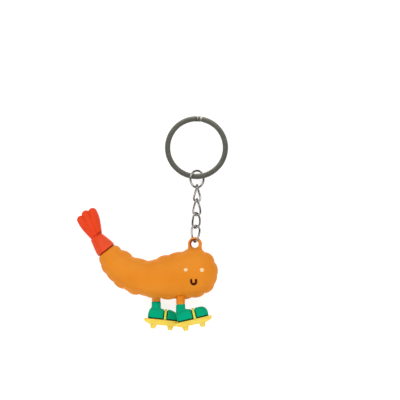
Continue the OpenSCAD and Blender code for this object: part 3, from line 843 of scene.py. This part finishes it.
def makeJumpRing():
    p = jumpPlan
    low, high = boxOf("jump_ring")
    radius, r = (p["outside"] - p["wire"]) / 2, p["wire"] / 2
    tilt = Matrix.Translation((low + high) / 2) @ Matrix.Rotation(math.radians(p["tilt"]), 4, "Y")
    first = p["ends"][-1][0]
    rows = list(p["ends"])
    rows += [(first + (1 - 2 * first) * k / p["sections"], 1.0) for k in range(1, p["sections"])]
    rows += [(1 - share, grow) for share, grow in reversed(p["ends"])]
    spots = []
    for share, grow in rows:
        a = math.radians(p["seamAt"] + p["seam"] / 2 + (360 - p["seam"]) * share)
        out = Vector((math.cos(a), math.sin(a), 0))
        spots.append(placement(out * radius, out * r * grow, zUp * r * grow, zUp.cross(out)))
    bm = bmesh.new()
    drawSkin(bm, 24, spots)
    bmesh.ops.transform(bm, matrix=tilt, verts=bm.verts)
    makePiece(bm, "jumpRingWire", "jump_ring", nickelWire, ["jump_ring"], 60)


makeJumpRing()
print("chain made")


# the split ring: a flat spring wire in two turns with a step between them
ringPlan = {"outside": 30.0, "wide": 2.5, "thick": 0.95, "air": 0.1, "swing": 1.0,
            "step": 13.0, "stepParts": 12, "endGap": 3.0, "edge": 0.1, "facet": 2.5, "lines": 9000,
            "bright": (0.43, 0.425, 0.36, 1), "dull": (0.30, 0.298, 0.24, 1)}


def ringFrame():
    p = ringPlan
    joint = next(j for j in frame["record"]["behaviour"]["joints"] if j["name"] == "split_ring_turn")
    axis = Vector(joint["axis"]).normalized()
    low, high = boxOf("split_ring")
    tilt = math.atan2(axis.y, axis.z)
    return (Matrix.Translation((low + high) / 2) @ Matrix.Rotation(-tilt, 4, "X")
            @ Matrix.Rotation(math.radians(p["swing"] + 90), 4, "Z"))


def makeSplitRing():
    p = ringPlan
    middle = (p["outside"] - p["wide"]) / 2
    rise = p["air"] + p["thick"]  # from one turn to the other
    w, t = p["wide"] / 2, p["thick"] / 2
    bm = bmesh.new()
    # a flat section with eased corners
    corners = ((-w, -t), (w, -t), (w, t), (-w, t))
    bm.faces.new([bm.verts.new((middle + x, 0, rise / 2 + z)) for x, z in corners])
    bmesh.ops.bevel(bm, geom=bm.verts[:], offset=p["edge"], offset_type="OFFSET", affect="VERTICES", segments=4,
                    profile=0.5, material=-1)
    # one turn, a step down in small parts, and the other turn
    parts = p["stepParts"]
    level = [0.5 - 0.5 * math.cos(math.pi * k / parts) for k in range(parts + 1)]
    stages = [(360 - p["step"], 0.0)]
    stages += [(p["step"] / parts, -rise * (b - a)) for a, b in zip(level, level[1:])]
    stages += [(360 - p["step"] - p["endGap"], 0.0)]
    edges = bm.edges[:]
    for angle, drop in stages:
        count = max(1, round(angle / p["facet"]))
        made = bmesh.ops.spin(bm, geom=edges, cent=(0, 0, 0), axis=zUp, dvec=(0, 0, drop / count),
                              angle=math.radians(angle), steps=count)
        edges = [g for g in made["geom_last"] if isinstance(g, bmesh.types.BMEdge)]
    bmesh.ops.edgeloop_fill(bm, edges=edges)
    bmesh.ops.recalc_face_normals(bm, faces=bm.faces)
    bmesh.ops.transform(bm, matrix=ringFrame(), verts=bm.verts)
    makePiece(bm, "splitRingBand", "split_ring", ringSteel(), ["split_ring"], 40)


def ringSteel():
    # brushed round the ring: hairlines follow the distance from its middle
    f = Finish("ring_steel", {"Metallic": 1.0, "Specular Tint": (0.3, 0.3, 0.3, 1)})
    radius = f.distance(f.within(ringFrame()))
    rings = f.node("ShaderNodeCombineXYZ", {}, {"X": radius * ringPlan["lines"], "Y": f.noise(60, 2) * 3.0})
    hairline = f.noise(1.0, 3, rings)
    tarnish = f.band(f.noise(220, 4), 0.4, 0.75)
    nicks = f.band(f.noise(1700, 3), 0.66, 0.78)
    colour = f.mix(tarnish * 0.6 + nicks * 0.4, ringPlan["bright"], ringPlan["dull"])
    return f.done(colour, 0.16 + hairline * 0.1 + tarnish * 0.06, f.bump(hairline, 0.14, 0.00003))


makeSplitRing()
print("split ring made")


# a lit floor, one soft light and a sky of soft boxes
stagePlan = {"shade": 0.4, "lit": 0.8, "side": 6.0}
lightPlan = {"place": Vector((-0.05, 0.60, 0.85)), "target": Vector((0.0, 0.02, 0.0)), "size": (0.6, 0.4),
             "power": 0.9}
skyPlan = {
    # soft boxes: azimuth, angle off the zenith, half width, brightness
    "boxes": [(92, 38, 13, 3.4), (42, 46, 13, 4.2), (138, 46, 13, 4.2), (222, 44, 13, 5.0), (318, 44, 13, 5.0),
              (270, 58, 10, 3.5)],
    "blur": 3, "zenith": 0.2, "low": 0.14, "horizon": 0.45, "strength": 0.9,
}


def makeFloor():
    bm = bmesh.new()
    bmesh.ops.create_grid(bm, x_segments=4, y_segments=4, size=stagePlan["side"] / 2)
    mesh = bpy.data.meshes.new("floor")
    bm.to_mesh(mesh)
    bm.free()
    floor = bpy.data.objects.new("floor", mesh)
    bpy.context.collection.objects.link(floor)
    f = Finish("litPaper", {"Specular IOR Level": 0.1, "Emission Color": (1, 1, 1, 1),
                            "Emission Strength": stagePlan["lit"]})
    shade = stagePlan["shade"]
    colour = f.mix(f.noise(30, 2), (shade, shade, shade, 1), (shade - 0.01, shade - 0.01, shade - 0.005, 1))
    mesh.materials.append(f.done(colour, 0.8 + f.noise(400, 2) * 0.1, f.bump(f.noise(2500, 2), 0.05, 0.00005)))


def makeLight():
    p = lightPlan
    light = bpy.data.lights.new("overheadSoft", "AREA")
    light.shape = "RECTANGLE"
    light.size, light.size_y = p["size"]
    light.energy = p["power"]
    lamp = bpy.data.objects.new("overheadSoft", light)
    lamp.location = p["place"]
    lamp.rotation_euler = (p["target"] - p["place"]).to_track_quat("-Z", "Y").to_euler()
    bpy.context.collection.objects.link(lamp)


def makeSky():
    p = skyPlan
    world = bpy.data.worlds.new("studio")
    bpy.context.scene.world = world
    world.use_nodes = True
    sky = Recipe(world.node_tree)
    way = sky.node("ShaderNodeTexCoord", {}, {}, "Generated")
    up = sky.vector("DOT_PRODUCT", way, (0, 0, 1), "Value")
    glow = p["horizon"] * (1 - sky.band(up, 0.03, 0.12)) + p["low"]
    glow = glow + (p["zenith"] - p["low"]) * sky.band(up, 0.7, 0.97)
    for azimuth, off, half, gain in p["boxes"]:
        a, b = math.radians(azimuth), math.radians(off)
        toBox = (math.cos(a) * math.sin(b), math.sin(a) * math.sin(b), math.cos(b))
        outer, inner = (math.cos(math.radians(half + blur)) for blur in (p["blur"], -p["blur"]))
        glow = glow + gain * sky.band(sky.vector("DOT_PRODUCT", way, toBox, "Value"), outer, inner)
    back = world.node_tree.nodes["Background"]
    sky.feed(back.inputs["Strength"], glow * p["strength"])
    back.inputs["Color"].default_value = (1, 1, 1, 1)


makeFloor()
makeSky()
makeLight()
bpy.context.scene.view_settings.view_transform = "Standard"
print("stage made")

bpy.context.view_layer.update()
